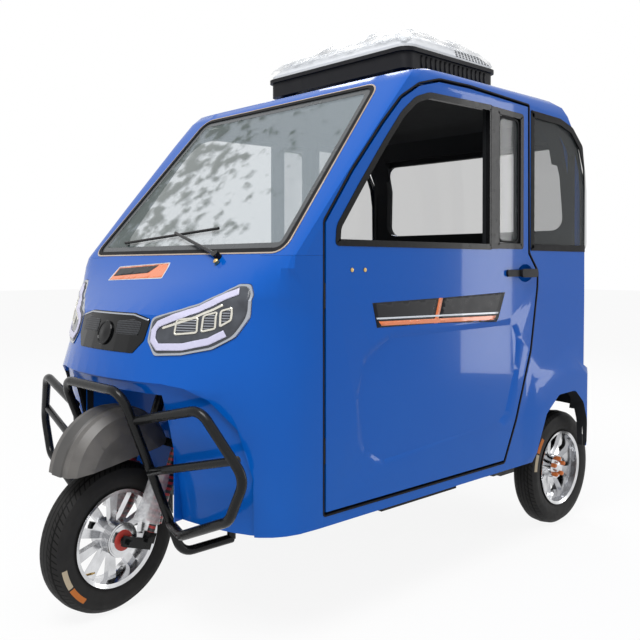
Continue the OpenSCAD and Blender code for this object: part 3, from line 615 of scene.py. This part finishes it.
lamp_silver = Finish("lamp_silver", (0.42, 0.44, 0.48), 0.15, "lamp", Metallic=0.8)
lamp_silver.feed("Roughness", lamp_silver.noise(40.0) * 0.2 + 0.1)
lamp_silver.on("headlamp_left", "headlamp_right")
lamp_dark = Finish("lamp_dark", (0.035, 0.038, 0.045), 0.12, "gloss_black",
                   Specular_IOR_Level=0.4)
lamp_dark.feed("Base Color", lamp_dark.noise(22.0, 5.0).mixed(
    (0.010, 0.012, 0.016, 1), (0.10, 0.11, 0.13, 1)))
lamp_guide = Finish("lamp_guide", (0.56, 0.55, 0.72), 0.2, "lamp", Specular_IOR_Level=0.4)
lamp_guide.feed("Roughness", lamp_guide.noise(60.0) * 0.2 + 0.15)
lamp_cream = Finish("lamp_chrome", (0.72, 0.70, 0.62), 0.15, "lamp", Metallic=0.7)
lamp_cream.feed("Roughness", lamp_cream.noise(60.0) * 0.2 + 0.08)
lamp_lens = Finish("lamp_lens", (0.05, 0.055, 0.065), 0.05, "gloss_black")
lamp_lens.feed("Base Color", (lamp_lens.place.dot((0, 0, 90))).maths(
    "SINE", lamp_lens.place.dot((0, 0, 900))).mixed((0.02, 0.022, 0.028, 1),
                                                   (0.30, 0.32, 0.36, 1)))
LAMP = [(196, 862), (330, 906), (424, 958), (461, 958), (478, 930), (469, 866), (447, 818),
        (399, 786), (320, 768), (235, 762), (200, 800)]
GUIDE = [(437, 938), (400, 922), (338, 888), (270, 863), (228, 846), (217, 828), (221, 803),
         (243, 785), (320, 789), (388, 806), (424, 828)]
CHROME_STRIP = [(405, 902), (340, 868), (275, 846), (244, 836)]
MODULES = [([(286, 818), (284, 862), (350, 870), (356, 826)], 8),
           ([(362, 828), (360, 874), (396, 886), (402, 838)], 7),
           ([(408, 842), (402, 888), (432, 898), (436, 862)], 6)]
for side, word in ((1, "left"), (-1, "right")):
    lamp = skin_of("headlamp_" + word)
    laid("lamp_housing_" + word, grown(mirrored(LAMP, side), -6), lamp, lamp_dark, 0.4, 0.8,
         radius=12)
    laid("lamp_guide_" + word, strip(mirrored(GUIDE, side), 19), lamp, lamp_guide, 1.4, 2.6)
    laid("lamp_chrome_" + word, strip(mirrored(CHROME_STRIP, side), 7), lamp, lamp_cream,
         1.4, 1.2)
    for number, (module, radius) in enumerate(MODULES):
        laid("lamp_module_%s_%d" % (word, number), mirrored(module, side), lamp, lamp_cream,
             1.3, 2.2, radius=radius, width=5, fine=14)
        laid("lamp_lens_%s_%d" % (word, number), grown(mirrored(module, side), -4), lamp,
             lamp_lens, 1.3, 0.9, radius=radius, fine=14)

# Grille: gloss black plastic with two meshed bands, a silver line along its
# top edge, and a blank round boss in the middle.
gloss_black = Finish("gloss_black", (0.003, 0.0033, 0.004), 0.12, "gloss_black", Coat_Weight=0.12,
                     Specular_IOR_Level=0.15)
gloss_black.feed("Roughness", gloss_black.noise(40.0, 4.0) * 0.15 + 0.06)
gloss_black.on("grille")
grille_mesh = Finish("grille_mesh", (0.02, 0.021, 0.023), 0.35, "gloss_black",
                     Specular_IOR_Level=0.15)
across_wave = grille_mesh.place.maths("SINE", grille_mesh.place.dot((520, 0, 520)))
up_wave = grille_mesh.place.maths("SINE", grille_mesh.place.dot((520, 0, -520)))
# The holes of the mesh are painted near-black: painted shade seen through the openings.
holes = (across_wave * up_wave) > 0.12
grille_mesh.feed("Base Color", holes.mixed((0.055, 0.058, 0.065, 1), (0.002, 0.002, 0.002, 1)))
grille_mesh.bump(1 - holes, 0.002)
grille_skin = skin_of("grille")
laid("grille_line", strip([(-186, 855), (-121, 868), (121, 868), (186, 855)], 4), grille_skin,
     lamp_silver, 0.2, 1.6)
for side, word in ((1, "left"), (-1, "right")):
    laid("grille_mesh_" + word,
         mirrored([(50, 848), (122, 856), (160, 848), (156, 812), (52, 812)], side),
         grille_skin, grille_mesh, 0.3, 0.6, radius=5)
boss_at, boss_out = grille_skin.ray_cast(Vector((0, -1.5, 0.812)), Vector((0, 1, 0)))[:2]
turned("grille_boss", [(-2, 36), (5, 36), (6.5, 34.5), (6.5, 31), (4.5, 29), (5, 20), (7, 8),
                       (7.5, 0)], boss_at, boss_out, gloss_black, "body")

# Stickers: printed vinyl laid on the bonnet and on each door. Their fields are
# plain black and orange with thin pale edges.
sticker_black = Finish("sticker_black", (0.006, 0.0065, 0.009), 0.3, Specular_IOR_Level=0.2)
sticker_black.feed("Roughness", sticker_black.noise(30.0) * 0.2 + 0.2)
sticker_orange = Finish("sticker_orange", (0.72, 0.16, 0.03), 0.3, Coat_Weight=0.6)
sticker_orange.feed("Roughness", sticker_orange.noise(30.0) * 0.2 + 0.2)
sticker_pale = Finish("sticker_pale", (0.60, 0.64, 0.70), 0.3, Coat_Weight=0.6)
sticker_pale.feed("Roughness", sticker_pale.noise(30.0) * 0.2 + 0.2)
bonnet = skin_of("front_cowl")
laid("bonnet_sticker_edge", [(-262, 958), (-276, 1004), (12, 1017), (46, 968)], bonnet,
     sticker_pale, 0.25, 0.3, radius=3, fine=14)
laid("bonnet_sticker_orange", [(-256, 960), (-270, 1001), (8, 1014), (40, 971)], bonnet,
     sticker_orange, 0.5, 0.3, radius=3, fine=14)
laid("bonnet_sticker_black", [(-252, 972), (-262, 997), (-40, 1008), (-62, 984)], bonnet,
     sticker_black, 0.8, 0.3, radius=2, fine=14)
STICKER_L = 654
for side, word in ((1, "left"), (-1, "right")):
    door_skin = skin_of("door_" + word)

    def on_door(name, points, finish, proud):
        laid(name + "_" + word, [(542 + share * STICKER_L, z) for share, z in points],
             door_skin, finish, proud, 0.3, side=side, fine=24, body=word + "_door")

    on_door("door_sticker_front", [(0, 828), (-0.03, 900), (0.44, 906), (0.40, 828)],
            sticker_black, 0.3)
    on_door("door_sticker_rear", [(0.43, 828), (0.47, 906), (1.0, 916), (0.93, 816)],
            sticker_black, 0.3)
    on_door("door_sticker_stripe", [(0.03, 833), (0.01, 846), (0.92, 838), (0.90, 824)],
            sticker_orange, 0.7)
    on_door("door_sticker_line", [(0.0, 852), (-0.005, 857), (0.94, 850), (0.935, 844)],
            sticker_pale, 0.7)
    on_door("door_sticker_slash", [(0.40, 828), (0.44, 906), (0.47, 906), (0.43, 828)],
            sticker_orange, 0.5)

# Tail lamps: red plastic lenses with fine ribs.
lamp_red = Finish("lamp_red", (0.4, 0.006, 0.006), 0.15, "red_lamp", Coat_Weight=1.0)
lamp_red.bump(lamp_red.place.maths("SINE", lamp_red.place.dot((0, 0, 700))), 0.001)
lamp_red.on("tail_lamps")


# Seats. Grey leathercloth over foam: cushions crown in the middle and pull in
# between their corners, with a sewn edge.
seat_cover = Finish("seat_cover", (0.30, 0.31, 0.32), 0.5, "seat")
seat_cover.bump(seat_cover.noise(500.0, 4.0), 0.0006, 0.6)
seat_cover.feed("Base Color", seat_cover.noise(7.0, 4.0).mixed((0.27, 0.28, 0.29, 1),
                                                               (0.38, 0.39, 0.40, 1)))


def cushion(name, low, high, crown, lean=0.0, finish=seat_cover):
    """A stuffed block between two corners, crowned on its wide faces."""
    low, high = Vector(low), Vector(high)
    middle, half = (low + high) / 2, (high - low) / 2
    made = bmesh.new()
    bmesh.ops.create_cube(made, size=2)
    bmesh.ops.bevel(made, geom=made.edges[:], offset=0.16, affect="EDGES", segments=3,
                    profile=0.5, material=-1)
    bmesh.ops.subdivide_edges(made, edges=[edge for edge in made.edges
                                           if edge.calc_length() > 0.9], cuts=11,
                              use_grid_fill=True)
    for vert in made.verts:
        unit = vert.co.copy()
        bulge = [(1 - min(1, abs(unit[(axis + 1) % 3])) ** 2)
                 * (1 - min(1, abs(unit[(axis + 2) % 3])) ** 2) for axis in range(3)]
        for axis in range(3):
            pull = 0.94 + 0.06 * max(abs(unit[(axis + 1) % 3]), abs(unit[(axis + 2) % 3]))
            vert.co[axis] = unit[axis] * (half[axis] - crown) * pull
            vert.co[axis] += math.copysign(crown, unit[axis]) * bulge[axis] * abs(unit[axis])
    turn = Matrix.Rotation(lean, 4, "X")
    bmesh.ops.transform(made, verts=made.verts, matrix=Matrix.Translation(middle) @ turn)
    obj = piece(name, made, finish)
    subdivided = obj.modifiers.new("smooth", "SUBSURF")
    subdivided.levels = 1
    subdivided.render_levels = 1
    return obj


seat_base = Finish("seat_base", (0.014, 0.014, 0.015), 0.5, "black_plastic")
seat_base.bump(seat_base.noise(800.0, 2.0), 0.0003, 0.4)
driver_low, driver_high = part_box("driver_seat")
bench_low, bench_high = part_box("rear_bench")
cushion("driver_box", driver_low, (driver_high[0], driver_high[1] - 0.06, 0.562), 0.004,
        finish=seat_base)
driver_cushion = cushion("driver_cushion", (-0.225, -0.155 + 0.01, 0.556),
                         (0.225, 0.265, 0.652), 0.018)
driver_back = cushion("driver_back", (-0.212, 0.285, 0.64), (0.212, 0.362, 1.075), 0.016,
                      lean=math.radians(-7))
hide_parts("driver_seat")
cushion("bench_box", (bench_low[0] + 0.01, bench_low[1] + 0.03, bench_low[2]),
        (bench_high[0] - 0.01, bench_high[1] - 0.04, 0.456), 0.004, finish=seat_base)
bench_cushion = cushion("bench_cushion", (bench_low[0], bench_low[1], 0.45),
                        (bench_high[0], bench_low[1] + 0.345, 0.582), 0.02)
cushion("bench_back", (bench_low[0] + 0.006, bench_high[1] - 0.100, 0.575),
        (bench_high[0] - 0.006, bench_high[1] - 0.03, 0.962), 0.016, lean=math.radians(-5))
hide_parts("rear_bench")


# Cooler on the roof: a black moulded base with ribs, and a white cover with a
# louvred panel, under a crumpled clear film from its packing.
white_plastic = Finish("white_plastic", (0.60, 0.62, 0.65), 0.35, "cooler_white")
white_plastic.feed("Roughness", white_plastic.noise(30.0, 3.0) * 0.2 + 0.25)
white_plastic.on("cooler_cover")
cooler_low, cooler_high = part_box("cooler_base")
cover_low, cover_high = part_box("cooler_cover")
cover_skin = skin_of("cooler_cover")
slot_shade_and_rib_black = Finish("louvre_shade_and_rib_black", (0.008, 0.008, 0.009), 0.5, Specular_IOR_Level=0.2)
slot_shade_and_rib_black.bump(slot_shade_and_rib_black.noise(700.0), 0.0003, 0.4)
COOLER_Y = (cover_low[1] + cover_high[1]) / 2
# The louvre slots are thin near-black sheets laid on the white cover: painted shade in the slots.
# The same black is the real colour of the ribs on the black base.
for row in range(4):
    for number in range(11):
        y = COOLER_Y + 0.02 + number * 0.0195 + row * 0.006
        z = cover_low[2] + 0.013 + row * 0.0085
        laid("louvre_%d_%d" % (row, number),
             [((y - AXLE_Y) * 1000 - 6, z * 1000 - 2.2), ((y - AXLE_Y) * 1000 - 4, z * 1000 + 2.2),
              ((y - AXLE_Y) * 1000 + 7, z * 1000 + 2.2), ((y - AXLE_Y) * 1000 + 5, z * 1000 - 2.2)],
             cover_skin, slot_shade_and_rib_black, 0.2, 0.5, side=1, fine=30)
base_skin = skin_of("cooler_base")
for number in range(15):
    y = (cooler_low[1] + 0.09 + number * 0.0265 - AXLE_Y) * 1000
    for side, word in ((1, "left"), (-1, "right")):
        laid("cooler_rib_%s_%d" % (word, number),
             [(y - 3.5, 1690), (y - 3.5, 1732), (y + 3.5, 1732), (y + 3.5, 1690)], base_skin,
             slot_shade_and_rib_black, 0, 3.0, side=side, fine=30)
clear_film = Finish("packing_film", (0.55, 0.58, 0.61), 0.1, "clear_glass", Alpha=0.3,
                    Coat_Weight=0.6)
creases = clear_film.noise(13.0, 8.0)
clear_film.feed("Alpha", ((creases - 0.42) * 4.0).clamped() * 0.6 + 0.16)
clear_film.feed("Base Color", creases.mixed((0.30, 0.33, 0.36, 1), (0.80, 0.83, 0.86, 1)))
clear_film.bump(creases, 0.04)
FILM_W, FILM_L = 0.70, 0.52
film_mesh = bmesh.new()
bmesh.ops.create_grid(film_mesh, x_segments=90, y_segments=70, size=0.5)
for vert in film_mesh.verts:
    across, along = vert.co.x * FILM_W, vert.co.y * FILM_L
    start = Vector((across, COOLER_Y + along, 2.2))
    hit = cover_skin.ray_cast(start, Vector((0, 0, -1)))[0]
    ground = hit.z if hit else cover_low[2]
    ripple = noise.noise(Vector((across * 9, along * 9, 0.3))) * 0.5 + 0.5
    fold = noise.noise(Vector((across * 28, along * 22, 4.1))) * 0.5 + 0.5
    vert.co = Vector((across, COOLER_Y + along, ground + 0.002 + ripple * 0.022 + fold * 0.012))
packing = piece("packing_film", film_mesh, clear_film)


# Studio: a pale floor and soft lamps. The floor is white to the camera and
# still takes the tricycle's shadow.
def seen_white(finish, share):
    """Let the camera, mirrors and glass see white, and light the rest plainly."""
    tree = finish.tree
    path = finish.place.node("ShaderNodeLightPath")
    seen = Socket(tree, path.outputs["Is Camera Ray"]) + Socket(
        tree, path.outputs["Is Glossy Ray"]) + Socket(tree, path.outputs["Is Transmission Ray"])
    white = tree.nodes.new("ShaderNodeEmission")
    mix = finish.place.node("ShaderNodeMixShader", i0=seen.clamped() * share)
    tree.links.new(finish.shader.outputs[0], mix.inputs[1])
    tree.links.new(white.outputs[0], mix.inputs[2])
    output = next(node for node in tree.nodes if node.type == "OUTPUT_MATERIAL")
    tree.links.new(mix.outputs[0], output.inputs["Surface"])


floor_mesh = bpy.data.meshes.new("studio_floor")
made = bmesh.new()
bmesh.ops.create_grid(made, x_segments=1, y_segments=1, size=30)
made.to_mesh(floor_mesh)
made.free()
floor = bpy.data.objects.new("studio_floor", floor_mesh)
scene.collection.objects.link(floor)
floor_finish = Finish("studio_floor", (0.9, 0.9, 0.9), 0.9)
seen_white(floor_finish, 0.9)
floor_finish.on(floor)

world = bpy.data.worlds.new("studio")
scene.world = world
world.use_nodes = True
background = world.node_tree.nodes["Background"]
light_path = Socket(world.node_tree, world.node_tree.nodes.new("ShaderNodeLightPath").outputs[0])
path_outputs = light_path.output.node.outputs
seen_by_eye = (Socket(world.node_tree, path_outputs["Is Camera Ray"])
               + Socket(world.node_tree, path_outputs["Is Glossy Ray"])
               + Socket(world.node_tree, path_outputs["Is Transmission Ray"])).clamped()
WORLD_LIGHT = 0.48
background.inputs["Color"].default_value = (1, 1, 1, 1)
world.node_tree.links.new((seen_by_eye * (1 - WORLD_LIGHT) + WORLD_LIGHT).output,
                          background.inputs["Strength"])


def soft_lamp(name, place, aim, size, power, height=None):
    data = bpy.data.lights.new(name, "AREA")
    data.size = size
    if height:
        data.shape = "RECTANGLE"
        data.size_y = height
    data.energy = power
    lamp = bpy.data.objects.new(name, data)
    scene.collection.objects.link(lamp)
    lamp.location = place
    lamp.visible_camera = False
    lamp.rotation_euler = (Vector(aim) - Vector(place)).to_track_quat("-Z", "Y").to_euler()


soft_lamp("key", (1.4, -2.8, 5.2), (0, -0.2, 0.8), 2.6, 230)
soft_lamp("rear", (-3.0, 3.5, 4.0), (0, 0, 0.9), 2.5, 90)
soft_lamp("strip", (3.2, 4.1, 1.5), (0.566, 0.3, 1.0), 0.45, 26, height=3.0)
